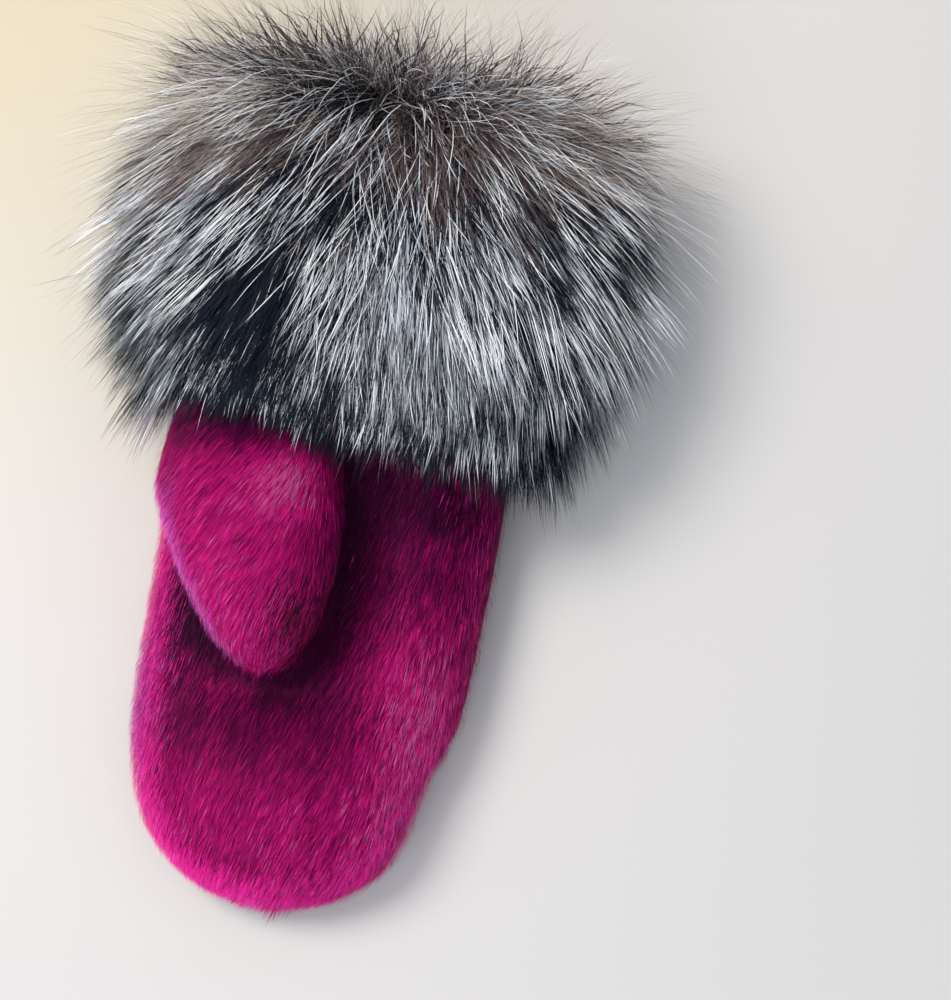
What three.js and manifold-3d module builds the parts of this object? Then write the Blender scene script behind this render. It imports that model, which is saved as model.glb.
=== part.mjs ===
// A fur mitten lying on its back: a hollow hand of short dyed fur, sewn from a palm
// piece and a back piece, a hollow thumb folded over the palm, and a wrist cuff of deep,
// long-haired fur on a skin band. Millimetres, +Z up. +Y runs from the fingertips to the
// cuff. The origin is on the flat resting face, under the middle of the hand.
import * as THREE from "three";
import { mergeVertices } from "three/addons/utils/BufferGeometryUtils.js";
import Module from "manifold-3d";

const wasm = await Module();
wasm.setup();

// Driving dimensions
const HAND_LENGTH = 220; // wrist seam to fingertip
const HAND_WIDTH = 125;
const HAND_THICKNESS = 40;
const SKIN_WALL = 3; // dyed skin with its short fur
const THUMB_LENGTH = 124; // from inside the palm to the tip
const THUMB_WIDTH = 66;
const THUMB_THICKNESS = 29;
const THUMB_START = 12; // wrist seam to the hidden root of the thumb
const THUMB_OFFSET = 28; // from the middle of the hand to the middle of the thumb's base
const THUMB_REST_GAP = 1; // between the folded thumb and the palm under it
const CUFF_LENGTH = 75;
const CUFF_FLARE = 7; // how much wider each side of the cuff is at its opening
const BAND_WALL = 2.5;
const FUR_LENGTH = 60; // of a cuff lock from root to tip
const UNDERFUR_DEPTH = 28; // thickness of the dense fur beside the band
const FUR_SETTLING = 0.75; // share of that thickness left on top, under its own weight
const FUR_UNDER = 8; // fur pressed flat between the band and the surface it lies on
const LOCK_WIDTH = 30;
const LOCK_FLATNESS = 0.4; // a lock's thickness as a share of its width
const LOCK_SETTLING = 0.6; // how much of its rise a lock on top loses by its own weight
const LOCK_PRESSING = 0.8; // the same for a lock under the cuff, pressed on the surface
const LOCK_LENGTHS = 0.12; // how far a lock's length differs from the next, as a share
const LOCK_LEAN = 0.18; // how far a lock leans sideways, as a share of its length
const SIDE_FALL = 0.5; // how far a lock on top falls towards the nearer side
const SIDE_SPREAD = 12; // degrees by which a lock at the side stands further out
const SIDE_LONGER = 0.12; // how much longer the locks are at the sides, as a share
const FLATTENING = 2.5; // how far the round back would sink below the resting face
const GAP = 0.3; // between pieces that touch

// Outline and height of the hand, from the wrist seam (0) to the fingertip (1).
// left and right are shares of half the width, high and seam are shares of the
// thickness, and lift is the share of FUR_UNDER by which the hand is raised.
const HAND_ROWS = [
  { at: 0.0, left: 0.88, right: 0.88, high: 1.12, seam: 0.5, lift: 1 },
  { at: 0.12, left: 0.95, right: 0.95, high: 1.12, seam: 0.48, lift: 0.78 },
  { at: 0.25, left: 0.99, right: 0.99, high: 1.08, seam: 0.42, lift: 0.42 },
  { at: 0.36, left: 1.0, right: 1.0, high: 1.02, seam: 0.38, lift: 0.12 },
  { at: 0.48, left: 0.99, right: 0.99, high: 0.97, seam: 0.37, lift: 0 },
  { at: 0.62, left: 0.975, right: 0.965, high: 0.95, seam: 0.36, lift: 0 },
  { at: 0.68, left: 0.965, right: 0.92, high: 0.95, seam: 0.36, lift: 0 },
  { at: 0.74, left: 0.945, right: 0.84, high: 0.95, seam: 0.36, lift: 0 },
  { at: 0.8, left: 0.9, right: 0.79, high: 0.92, seam: 0.36, lift: 0 },
  { at: 0.86, left: 0.83, right: 0.74, high: 0.86, seam: 0.35, lift: 0 },
  { at: 0.91, left: 0.725, right: 0.66, high: 0.76, seam: 0.33, lift: 0 },
  { at: 0.95, left: 0.58, right: 0.52, high: 0.64, seam: 0.31, lift: 0 },
  { at: 0.98, left: 0.385, right: 0.34, high: 0.51, seam: 0.29, lift: 0 },
  { at: 1.0, left: 0.12, right: 0.1, high: 0.36, seam: 0.27, lift: 0 },
];

// Soft dents (depth above 0) and swellings of the palm. at and across are shares of the
// length and of half the width, long and wide are their reach in the same shares, and
// depth is a share of the thickness.
const PALM_DENTS = [
  { at: 0.42, across: 0.24, long: 0.16, wide: 0.2, depth: 0.16 },
  { at: 0.64, across: -0.12, long: 0.05, wide: 0.5, depth: 0.07 },
  { at: 0.5, across: 0.66, long: 0.16, wide: 0.2, depth: -0.07 },
  { at: 0.68, across: 0.72, long: 0.07, wide: 0.3, depth: 0.035 },
  { at: 0.8, across: -0.05, long: 0.08, wide: 0.45, depth: -0.06 },
];

// The thumb from its hidden root (0) to its tip (1). aside is its middle, as a share of
// THUMB_OFFSET, wide and thick are shares of its width and thickness, and rise is the
// height of its middle over the palm's top, as a share of its thickness.
const THUMB_ROWS = [
  { at: 0.0, aside: 0.93, wide: 0.7, thick: 0.8, rise: -0.5 },
  { at: 0.2, aside: 1.05, wide: 0.88, thick: 1.3, rise: -0.26 },
  { at: 0.4, aside: 1.07, wide: 1.0, thick: 1.55, rise: -0.08 },
  { at: 0.55, aside: 0.98, wide: 1.02, thick: 1.2, rise: 0.3 },
  { at: 0.7, aside: 0.8, wide: 0.9, thick: 1.0, rise: 0.5 },
  { at: 0.83, aside: 0.66, wide: 0.72, thick: 0.92, rise: 0.45 },
  { at: 0.92, aside: 0.58, wide: 0.53, thick: 0.78, rise: 0.37 },
  { at: 0.975, aside: 0.53, wide: 0.32, thick: 0.54, rise: 0.28 },
  { at: 1.0, aside: 0.51, wide: 0.1, thick: 0.2, rise: 0.25 },
];

// Depth of the dense underfur along the cuff, as a share of UNDERFUR_DEPTH. at is a
// share of the cuff's length, below 0 over the hand and above 1 past the opening.
const UNDERFUR_ROWS = [
  { at: -0.42, depth: 0.1 },
  { at: -0.3, depth: 0.5 },
  { at: -0.12, depth: 0.86 },
  { at: 0.1, depth: 1.0 },
  { at: 0.4, depth: 0.98 },
  { at: 0.72, depth: 0.76 },
  { at: 0.95, depth: 0.46 },
  { at: 1.07, depth: 0.16 },
];

// Rings of fur locks. at is a share of the cuff's length, start and end are a lock's
// angles from the hand's direction at its root and tip, in degrees, and long and wide
// are shares of FUR_LENGTH and LOCK_WIDTH.
const LOCK_ROWS = [
  { at: 1.0, count: 10, start: 122, end: 96, long: 0.44, wide: 0.9 },
  { at: 0.97, count: 15, start: 100, end: 66, long: 0.62, wide: 0.76 },
  { at: 0.87, count: 16, start: 80, end: 44, long: 0.88, wide: 1.0 },
  { at: 0.62, count: 18, start: 66, end: 26, long: 1.04, wide: 1.08 },
  { at: 0.34, count: 19, start: 54, end: 14, long: 1.06, wide: 1.08 },
  { at: 0.05, count: 19, start: 40, end: 4, long: 1.02, wide: 1.04 },
];

// Shares of the hand's length where its form has a section
const HAND_STATIONS = [
  0, 0.12, 0.25, 0.34, 0.41, 0.48, 0.54, 0.6, 0.66, 0.72, 0.78, 0.84, 0.9, 0.95, 0.98, 1,
];
const HAND_SIDES = 34; // not a multiple of 4, so that one face lies across the middle
const THUMB_SIDES = 20;
const FUR_SIDES = 32;
const LOCK_STEPS = 4;
const LOCK_SIDES = 5;
const ROUNDNESS = 2.3; // exponent of the sections' outline, where 2 is an ellipse
const CUT_REACH = 400; // half size of the blocks that only cut
const MIDDLE = new THREE.Vector3(0, -HAND_LENGTH / 2, 0);
const DOWN = new THREE.Vector3(0, 0, -1);

// The value of each column of a table at a place between its rows, on a smooth curve.
function readRow(rows, at) {
  let next = rows.findIndex((row) => row.at >= at);
  if (next < 0) next = rows.length - 1;
  next = Math.max(next, 1);
  const from = rows[next - 1];
  const to = rows[next];
  const before = rows[Math.max(next - 2, 0)];
  const after = rows[Math.min(next + 1, rows.length - 1)];
  const span = to.at - from.at;
  const share = THREE.MathUtils.clamp((at - from.at) / span, 0, 1);
  const found = {};
  for (const column of Object.keys(from)) {
    const slopeFrom = (to[column] - before[column]) / (to.at - before.at);
    const slopeTo = (after[column] - from[column]) / (after.at - from.at);
    const square = share * share;
    const cube = square * share;
    found[column] =
      (2 * cube - 3 * square + 1) * from[column] +
      (cube - 2 * square + share) * span * slopeFrom +
      (3 * square - 2 * cube) * to[column] +
      (cube - square) * span * slopeTo;
  }
  return found;
}

// A repeatable number from 0 to 1 for each lock.
function scatter(seed) {
  const wave = Math.sin(seed * 127.1 + 11.7) * 43758.5453;
  return wave - Math.floor(wave);
}

function superCurve(value) {
  return Math.sign(value) * Math.abs(value) ** (2 / ROUNDNESS);
}

// A closed body through rings of the same number of points, capped at both ends.
function loft(rings) {
  const sides = rings[0].length;
  const points = rings.flat();
  const faces = [];
  for (let ring = 0; ring < rings.length - 1; ring += 1) {
    for (let side = 0; side < sides; side += 1) {
      const a = ring * sides + side;
      const b = ring * sides + ((side + 1) % sides);
      faces.push(a, b, a + sides, b, b + sides, a + sides);
    }
  }
  for (const [ring, turned] of [
    [0, true],
    [rings.length - 1, false],
  ]) {
    const centre = new THREE.Vector3();
    rings[ring].forEach((point) => centre.addScaledVector(point, 1 / sides));
    points.push(centre);
    for (let side = 0; side < sides; side += 1) {
      const a = ring * sides + side;
      const b = ring * sides + ((side + 1) % sides);
      faces.push(points.length - 1, turned ? b : a, turned ? a : b);
    }
  }
  const geometry = new THREE.BufferGeometry().setFromPoints(points);
  geometry.setIndex(faces);
  const solid = solidOf(geometry);
  if (solid.volume() > 0) return solid;
  for (let face = 0; face < faces.length; face += 3) {
    [faces[face + 1], faces[face + 2]] = [faces[face + 2], faces[face + 1]];
  }
  geometry.setIndex(faces);
  return solidOf(geometry);
}

function solidOf(geometry) {
  const bare = geometry.clone();
  bare.deleteAttribute("normal");
  bare.deleteAttribute("uv");
  const merged = mergeVertices(bare);
  return new wasm.Manifold(
    new wasm.Mesh({
      numProp: 3,
      vertProperties: merged.attributes.position.array,
      triVerts: new Uint32Array(merged.index.array),
    }),
  );
}

function block(width, depth, height, x, y, z) {
  return solidOf(new THREE.BoxGeometry(width, depth, height).translate(x, y, z));
}

// Below the resting face
const floor = block(CUT_REACH * 2, CUT_REACH * 2, CUT_REACH, 0, 0, -CUT_REACH / 2);

// Half widths and heights of the hand's section at a share of its length, grown outwards.
function handSizes(at, grow) {
  const row = readRow(HAND_ROWS, at);
  const base = FUR_UNDER * Math.max(row.lift, 0);
  return {
    left: (HAND_WIDTH / 2) * row.left + grow,
    right: (HAND_WIDTH / 2) * row.right + grow,
    high: base + HAND_THICKNESS * row.high + grow,
    seam: base + HAND_THICKNESS * row.seam,
    low: base - grow,
  };
}

// The cuff's section: the wrist's own at the seam, flared towards the opening.
function cuffSizes(at, grow) {
  const sizes = handSizes(0, grow);
  const flare = CUFF_FLARE * at;
  return {
    left: sizes.left + flare,
    right: sizes.right + flare,
    high: sizes.high + flare,
    seam: sizes.seam + flare / 2,
    low: sizes.low,
  };
}

// How far the palm's dents lower its surface at a place.
function dentDepth(at, across) {
  return PALM_DENTS.reduce((sum, dent) => {
    const along = (at - dent.at) / dent.long;
    const aside = (across - dent.across) / dent.wide;
    return sum + dent.depth * HAND_THICKNESS * Math.exp(-along * along - aside * aside);
  }, 0);
}

// A section's point at an angle from its right side, turning over the top.
function sectionPoint(sizes, angle, y, at) {
  const cos = superCurve(Math.cos(angle));
  const sin = superCurve(Math.sin(angle));
  const x = cos * (cos < 0 ? sizes.left : sizes.right);
  if (sin < 0) {
    const drop = sizes.seam - sizes.low + FLATTENING;
    return new THREE.Vector3(x, y, Math.max(sizes.seam + sin * drop, sizes.low));
  }
  const dent = at > 0 ? dentDepth(at, cos) * Math.min(1, 2 * sin) : 0;
  return new THREE.Vector3(x, y, sizes.seam + sin * (sizes.high - sizes.seam) - dent);
}

function ringOf(sizes, y, sides, at = 0) {
  return Array.from({ length: sides }, (_, side) =>
    sectionPoint(sizes, (side / sides) * 2 * Math.PI, y, at),
  );
}

// The hand's outer form, grown or shrunk, and carried past the wrist seam by overrun.
function handForm(grow, overrun) {
  const rings = HAND_STATIONS.map((at) =>
    ringOf(handSizes(at, grow), -(HAND_LENGTH + grow) * at, HAND_SIDES, at),
  );
  if (overrun) rings.unshift(ringOf(handSizes(0, grow), overrun, HAND_SIDES));
  return loft(rings);
}

function cuffForm(grow, from, to) {
  const rings = [from, 0, CUFF_LENGTH / 2, CUFF_LENGTH, to]
    .filter((y, index, all) => index === 0 || y > all[index - 1])
    .filter((y) => y <= to)
    .map((y) => ringOf(cuffSizes(Math.max(y, 0) / CUFF_LENGTH, grow), y, HAND_SIDES));
  return loft(rings);
}

// The thumb's form, grown or shrunk. Its tip rests on the palm with a small gap.
function thumbForm(grow) {
  const rings = [];
  for (const { at } of THUMB_ROWS) {
    const row = readRow(THUMB_ROWS, at);
    const reach = (THUMB_LENGTH + grow) * at;
    const y = -(THUMB_START + reach);
    const palm = handSizes(THREE.MathUtils.clamp(-y / HAND_LENGTH, 0, 1), 0).high;
    const middle = palm + THUMB_REST_GAP + row.rise * THUMB_THICKNESS;
    const ring = [];
    for (let side = 0; side < THUMB_SIDES; side += 1) {
      const angle = (side / THUMB_SIDES) * 2 * Math.PI;
      const half = (THUMB_WIDTH / 2) * row.wide + grow;
      const tall = (THUMB_THICKNESS / 2) * row.thick + grow;
      const x = -THUMB_OFFSET * row.aside + superCurve(Math.cos(angle)) * half;
      ring.push(new THREE.Vector3(x, y, middle + superCurve(Math.sin(angle)) * tall));
    }
    rings.push(ring);
  }
  return loft(rings);
}

// Everything below the side seam, to divide the hand into its palm and its back.
function belowSeam(shift) {
  const rows = [-1, 0, ...HAND_ROWS.map((row) => row.at).filter((at) => at > 0), 2];
  const rings = rows.map((at) => {
    const seam = handSizes(THREE.MathUtils.clamp(at, 0, 1), 0).seam + shift;
    const y = -HAND_LENGTH * at;
    return [
      new THREE.Vector3(-CUT_REACH, y, -CUT_REACH),
      new THREE.Vector3(CUT_REACH, y, -CUT_REACH),
      new THREE.Vector3(CUT_REACH, y, seam),
      new THREE.Vector3(-CUT_REACH, y, seam),
    ];
  });
  return loft(rings);
}

// The root of a lock on the band, at an angle round it, and the way out from there.
function lockRoot(at, angle) {
  const y = CUFF_LENGTH * at;
  const sizes = cuffSizes(at, 0);
  const root = sectionPoint(sizes, angle, y, 0);
  const turn = 0.05;
  const along = sectionPoint(sizes, angle + turn, y, 0)
    .sub(sectionPoint(sizes, angle - turn, y, 0))
    .normalize();
  return { root, out: new THREE.Vector3(along.z, 0, -along.x), along };
}

// One tapering lock: it leaves the skin at the start angle, falls over to the end angle
// and is pressed flat where it would reach below the surface that the mitten lies on.
function lock(row, angle, seed) {
  const { root, out, along } = lockRoot(row.at, angle);
  const under = THREE.MathUtils.smoothstep(-out.z, 0.1, 0.8);
  const aside = Math.abs(out.x) * (1 - under);
  const unevenness = 1 + LOCK_LENGTHS * (2 * scatter(seed) - 1);
  const length = FUR_LENGTH * row.long * unevenness * (1 + SIDE_LONGER * aside);
  const spread = SIDE_SPREAD * aside * (1 - THREE.MathUtils.smoothstep(row.at, 0.3, 1));
  const fall = Math.sin(2 * angle) * Math.max(out.z, 0);
  const sideways =
    LOCK_LEAN * (2 * scatter(seed + 0.5) - 1) -
    SIDE_FALL * fall * THREE.MathUtils.smoothstep(row.at, -0.1, 0.7);
  const place = root.clone();
  const rings = [];
  for (let step = 0; step <= LOCK_STEPS; step += 1) {
    const share = step / LOCK_STEPS;
    const bend = THREE.MathUtils.degToRad(
      THREE.MathUtils.lerp(row.start, row.end, Math.sqrt(share)) + spread,
    );
    const way = new THREE.Vector3(0, -Math.cos(bend), 0)
      .addScaledVector(out, Math.sin(bend) * (1 - LOCK_PRESSING * under))
      .addScaledVector(DOWN, LOCK_SETTLING * Math.sin(bend) * Math.max(out.z, 0))
      .addScaledVector(along, sideways)
      .normalize();
    const half = (LOCK_WIDTH / 2) * row.wide * Math.sqrt(1 - 0.985 * share * share);
    const across = new THREE.Vector3().crossVectors(way, out).normalize();
    const up = new THREE.Vector3().crossVectors(across, way).normalize();
    const middle = place.clone();
    middle.z = Math.max(middle.z, half * LOCK_FLATNESS * 0.75);
    const ring = [];
    for (let side = 0; side < LOCK_SIDES; side += 1) {
      const turn = (side / LOCK_SIDES) * 2 * Math.PI;
      ring.push(
        middle
          .clone()
          .addScaledVector(across, Math.cos(turn) * half)
          .addScaledVector(up, Math.sin(turn) * half * LOCK_FLATNESS),
      );
    }
    rings.push(ring);
    place.addScaledVector(way, length / LOCK_STEPS);
  }
  return loft(rings);
}

// The dense fur next to the skin, as a thick ring that follows the band and the wrist.
function underfur() {
  const rings = UNDERFUR_ROWS.map((row) => {
    const y = CUFF_LENGTH * row.at;
    const grow = UNDERFUR_DEPTH * row.depth;
    const sizes =
      y < 0 ? handSizes(-y / HAND_LENGTH, grow) : cuffSizes(row.at, grow);
    sizes.high -= grow * (1 - FUR_SETTLING);
    return ringOf(sizes, y, FUR_SIDES);
  });
  return loft(rings);
}

function cuffFur() {
  const locks = LOCK_ROWS.flatMap((row, ring) =>
    Array.from({ length: row.count }, (_, index) => {
      const stagger = 0.5 * (ring % 2) + 0.3 * scatter(ring * 50 + index);
      const angle = ((index + stagger) / row.count) * 2 * Math.PI;
      return lock(row, angle, ring * 100 + index);
    }),
  );
  return wasm.Manifold.union([underfur(), ...locks]);
}

function largestBody(solid) {
  return solid.decompose().reduce((a, b) => (a.volume() > b.volume() ? a : b));
}

function meshOf(name, solid, colour, roughness) {
  const found = largestBody(solid).getMesh();
  const geometry = new THREE.BufferGeometry();
  geometry.setAttribute("position", new THREE.BufferAttribute(found.vertProperties, 3));
  geometry.setIndex(new THREE.BufferAttribute(found.triVerts, 1));
  geometry.computeVertexNormals();
  const material = new THREE.MeshStandardMaterial({
    color: colour,
    roughness,
    metalness: 0,
  });
  const mesh = new THREE.Mesh(geometry, material);
  mesh.name = name;
  return mesh;
}

// Hand and thumb walls
const handOuter = handForm(0, 0);
const handWall = handOuter.subtract(handForm(-SKIN_WALL, SKIN_WALL));
const thumbOuter = thumbForm(0);
const thumbHollow = thumbForm(-SKIN_WALL);
const palm = handWall.subtract(belowSeam(GAP / 2)).subtract(thumbHollow);
const back = handWall.intersect(belowSeam(-GAP / 2));
const thumb = thumbOuter.subtract(thumbHollow).subtract(handForm(GAP, CUFF_LENGTH));

// Cuff band and its fur
const bandForm = cuffForm(0, GAP, CUFF_LENGTH);
const band = bandForm.subtract(cuffForm(-BAND_WALL, -CUFF_LENGTH, CUFF_LENGTH * 1.1));
const fur = cuffFur()
  .subtract(cuffForm(GAP, -GAP, CUFF_LENGTH * 2))
  .subtract(handForm(GAP, GAP))
  .subtract(thumbForm(GAP))
  .subtract(floor);

const FUCHSIA = 0xa3125f;
const SILVER_GREY = 0x5b5a60;
const PELT_BROWN = 0x4a4038;

const mitten = new THREE.Group();
mitten.add(
  meshOf("palm_panel", palm, FUCHSIA, 0.7),
  meshOf("back_panel", back, FUCHSIA, 0.7),
  meshOf("thumb", thumb, FUCHSIA, 0.7),
  meshOf("cuff_band", band, PELT_BROWN, 0.9),
  meshOf("cuff_fur", fur, SILVER_GREY, 0.8),
);
mitten.position.sub(MIDDLE);

export default mitten;
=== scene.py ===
"""A fur mitten lying palm up: short dyed fur on the hand and thumb, and a wrist cuff of deep
silver-banded fur. Metres, in the part's own frame: +Z up, +Y from the fingertips to the cuff."""
import math

import bpy
import numpy as np
from mathutils import Matrix, Vector


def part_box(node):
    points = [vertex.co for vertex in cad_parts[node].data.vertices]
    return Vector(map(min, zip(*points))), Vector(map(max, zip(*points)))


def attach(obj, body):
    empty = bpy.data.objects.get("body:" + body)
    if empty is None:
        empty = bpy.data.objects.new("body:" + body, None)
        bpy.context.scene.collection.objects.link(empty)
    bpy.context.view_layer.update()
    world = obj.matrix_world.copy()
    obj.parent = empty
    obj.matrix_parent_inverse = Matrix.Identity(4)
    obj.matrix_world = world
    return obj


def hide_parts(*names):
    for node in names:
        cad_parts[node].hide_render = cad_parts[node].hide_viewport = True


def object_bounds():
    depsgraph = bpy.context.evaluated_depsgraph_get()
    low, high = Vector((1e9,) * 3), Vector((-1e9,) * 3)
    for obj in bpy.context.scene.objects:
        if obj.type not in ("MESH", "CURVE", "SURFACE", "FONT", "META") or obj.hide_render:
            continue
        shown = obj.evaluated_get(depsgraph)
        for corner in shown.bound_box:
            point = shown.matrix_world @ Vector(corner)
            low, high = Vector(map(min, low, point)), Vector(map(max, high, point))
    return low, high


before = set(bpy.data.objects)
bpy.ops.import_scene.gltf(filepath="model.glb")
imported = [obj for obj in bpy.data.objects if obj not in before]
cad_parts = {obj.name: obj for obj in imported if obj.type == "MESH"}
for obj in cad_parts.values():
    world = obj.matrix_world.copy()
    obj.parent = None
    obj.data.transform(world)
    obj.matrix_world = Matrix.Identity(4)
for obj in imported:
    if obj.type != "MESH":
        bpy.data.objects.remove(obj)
cad_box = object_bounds()
MM = 0.001

# Sizes of the part: the first ones read from its nodes, and the rest as its solids have them
palm_low, palm_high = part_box("palm_panel")
thumb_low, thumb_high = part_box("thumb")
band_low, band_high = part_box("cuff_band")
SEAM_Y = palm_high.y
HAND_LENGTH = palm_high.y - palm_low.y
HAND_WIDTH = palm_high.x - palm_low.x
FUR_UNDER = band_low.z
CUFF_LENGTH = band_high.y - SEAM_Y
THUMB_LENGTH = thumb_high.y - thumb_low.y
THUMB_START = SEAM_Y - thumb_high.y
THUMB_WIDTH = 66 * MM
THUMB_THICKNESS = 29 * MM
THUMB_REST_GAP = 1 * MM
UNDERFUR_DEPTH = 28 * MM
FUR_SETTLING = 0.75
FLATTENING = 2.5 * MM
ROUNDNESS = 2.3

# The looks' own sizes
HAIR_ROOM = 1.2 * MM  # how far the skin lies under the form that its hair fills
SKIN_WALL = 3.0 * MM
BAND_WALL = 2.5 * MM
SEAM_GAP = 0.3 * MM
FLOOR_CLEAR = 0.35 * MM
HAIR_PRESSED = 0.4 * MM  # how far hair stays below the hand that lies on it
HAIR_OVERHANG = 8 * MM  # loose hair may stand past the part's box by this much,
HAIR_OVERHANG_SHARE = 0.03  # and by this share of each side


def table(columns, *rows):
    """A table's columns by name."""
    return dict(zip(columns.split(), np.array(rows, float).T))


# The hand's sections: shares of its length, half width, thickness and FUR_UNDER
HAND = table(
    "at left right high seam lift",
    (0.0, 0.88, 0.88, 1.12, 0.5, 1.0),
    (0.12, 0.95, 0.95, 1.12, 0.48, 0.78),
    (0.25, 0.99, 0.99, 1.08, 0.42, 0.42),
    (0.36, 1.0, 1.0, 1.02, 0.38, 0.12),
    (0.48, 0.99, 0.99, 0.97, 0.37, 0.0),
    (0.62, 0.975, 0.965, 0.95, 0.36, 0.0),
    (0.68, 0.965, 0.92, 0.95, 0.36, 0.0),
    (0.74, 0.945, 0.84, 0.95, 0.36, 0.0),
    (0.8, 0.9, 0.79, 0.92, 0.36, 0.0),
    (0.86, 0.83, 0.74, 0.86, 0.35, 0.0),
    (0.91, 0.725, 0.66, 0.76, 0.33, 0.0),
    (0.95, 0.58, 0.52, 0.64, 0.31, 0.0),
    (0.98, 0.385, 0.34, 0.51, 0.29, 0.0),
    (1.0, 0.12, 0.1, 0.36, 0.27, 0.0),
)
# Soft dents of the palm: place along and across, reach along and across, and depth, as
# shares of its length, half width and thickness
PALM_DENTS = [
    (0.42, 0.24, 0.16, 0.2, 0.16),
    (0.64, -0.12, 0.05, 0.5, 0.07),
    (0.5, 0.66, 0.16, 0.2, -0.07),
    (0.68, 0.72, 0.07, 0.3, 0.035),
    (0.8, -0.05, 0.08, 0.45, -0.06),
]
# The thumb's sections: shares of its length, offset, width and thickness
THUMB = table(
    "at aside wide thick rise",
    (0.0, 0.93, 0.7, 0.8, -0.5),
    (0.2, 1.05, 0.88, 1.3, -0.26),
    (0.4, 1.07, 1.0, 1.55, -0.08),
    (0.55, 0.98, 1.02, 1.2, 0.3),
    (0.7, 0.8, 0.9, 1.0, 0.5),
    (0.83, 0.66, 0.72, 0.92, 0.45),
    (0.92, 0.58, 0.53, 0.78, 0.37),
    (0.975, 0.53, 0.32, 0.54, 0.28),
    (1.0, 0.51, 0.1, 0.2, 0.25),
)
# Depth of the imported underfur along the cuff, as a share of UNDERFUR_DEPTH
UNDERFUR = table(
    "at depth",
    (-0.3, 0.06),
    (-0.2, 0.3),
    (-0.05, 0.5),
    (0.1, 0.58),
    (0.4, 0.58),
    (0.72, 0.46),
    (0.95, 0.3),
    (1.04, 0.1),
)
# The cuff's hair from the wrist seam to the opening: its angles from the hand's direction
# at root and tip, in degrees, and its length in millimetres
FUR_FLOW = table(
    "at start end long",
    (-0.1, 36, 2, 58),
    (0.05, 40, 4, 61),
    (0.34, 54, 14, 64),
    (0.62, 66, 26, 62),
    (0.87, 80, 42, 52),
    (0.96, 104, 74, 33),
    (1.02, 122, 100, 24),
)
OVER_THUMB = 0.17  # how much shorter the hair is that ends over the thumb, as a share
SIDE_FALL = 0.5  # how far the hair on top falls to the sides
SIDE_SPREAD = 12  # degrees by which the hair at the sides stands further out
SIDE_LONGER = 0.12  # how much longer it is there, as a share
HAND_THICKNESS = (palm_high.z - FUR_UNDER) / HAND["high"][0]
CUFF_FLARE = (band_high.x - band_low.x - HAND_WIDTH * HAND["left"][0]) / 2
THUMB_OFFSET = -(thumb_low.x + THUMB_WIDTH / 2) / THUMB["aside"].max()


def read(rows, at):
    """A table's columns at places between its rows, on a smooth curve."""
    places = rows["at"]
    at = np.clip(at, places[0], places[-1])
    after = np.clip(np.searchsorted(places, at), 1, len(places) - 1)
    before = after - 1
    outer_low = np.maximum(before - 1, 0)
    outer_high = np.minimum(after + 1, len(places) - 1)
    span = places[after] - places[before]
    share = (at - places[before]) / span
    found = {}
    for name, column in rows.items():
        slope_low = (column[after] - column[outer_low]) / (places[after] - places[outer_low])
        slope_high = (column[outer_high] - column[before]) / (places[outer_high] - places[before])
        found[name] = (
            (2 * share**3 - 3 * share**2 + 1) * column[before]
            + (share**3 - 2 * share**2 + share) * span * slope_low
            + (3 * share**2 - 2 * share**3) * column[after]
            + (share**3 - share**2) * span * slope_high
        )
    return found


def unit(ways):
    return ways / np.maximum(np.linalg.norm(ways, axis=-1, keepdims=True), 1e-12)


def vectors(x, y, z):
    return np.stack(np.broadcast_arrays(x, y, z), axis=-1)


def limit(share):
    return np.clip(share, 0, 1)


def smooth(low, high, value):
    share = limit((value - low) / (high - low))
    return share * share * (3 - 2 * share)


def bow(value):
    return np.sign(value) * np.abs(value) ** (2 / ROUNDNESS)


def hand_sizes(at, grow):
    row = read(HAND, at)
    base = FUR_UNDER * np.maximum(row["lift"], 0)
    return {
        "left": HAND_WIDTH / 2 * row["left"] + grow,
        "right": HAND_WIDTH / 2 * row["right"] + grow,
        "high": base + HAND_THICKNESS * row["high"] + grow,
        "seam": base + HAND_THICKNESS * row["seam"],
        "low": base - grow,
    }


def cuff_sizes(at, grow):
    sizes = hand_sizes(np.zeros_like(at), grow)
    flare = CUFF_FLARE * np.clip(at, 0, 1.1)
    for name, share in (("left", 1), ("right", 1), ("high", 1), ("seam", 0.5)):
        sizes[name] = sizes[name] + share * flare
    return sizes


def dents(at, across):
    """How far the palm's dents lower it at a place."""
    total = 0
    for place_along, place_across, long, wide, depth in PALM_DENTS:
        along = (at - place_along) / long
        aside = (across - place_across) / wide
        total = total + depth * HAND_THICKNESS * np.exp(-(along**2) - aside**2)
    return total


def section(sizes, angle, at=None):
    """A section's x and z at an angle from its right side, turning over the top."""
    cos = bow(np.cos(angle))
    sin = bow(np.sin(angle))
    x = cos * np.where(cos < 0, sizes["left"], sizes["right"])
    dent = 0 if at is None else dents(at, cos) * limit(2 * sin)
    upper = sizes["seam"] + sin * (sizes["high"] - sizes["seam"]) - dent
    lower = sizes["seam"] + sin * (sizes["seam"] - sizes["low"] + FLATTENING)
    return x, np.where(sin < 0, np.maximum(lower, sizes["low"]), upper)


def hand_point(at, angle, grow=0):
    x, z = section(hand_sizes(at, grow), angle, at)
    return vectors(x, SEAM_Y - (HAND_LENGTH + grow) * at, z)


def cuff_point(at, angle, grow=0):
    x, z = section(cuff_sizes(at, grow), angle)
    return vectors(x, SEAM_Y + CUFF_LENGTH * at, z)


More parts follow.
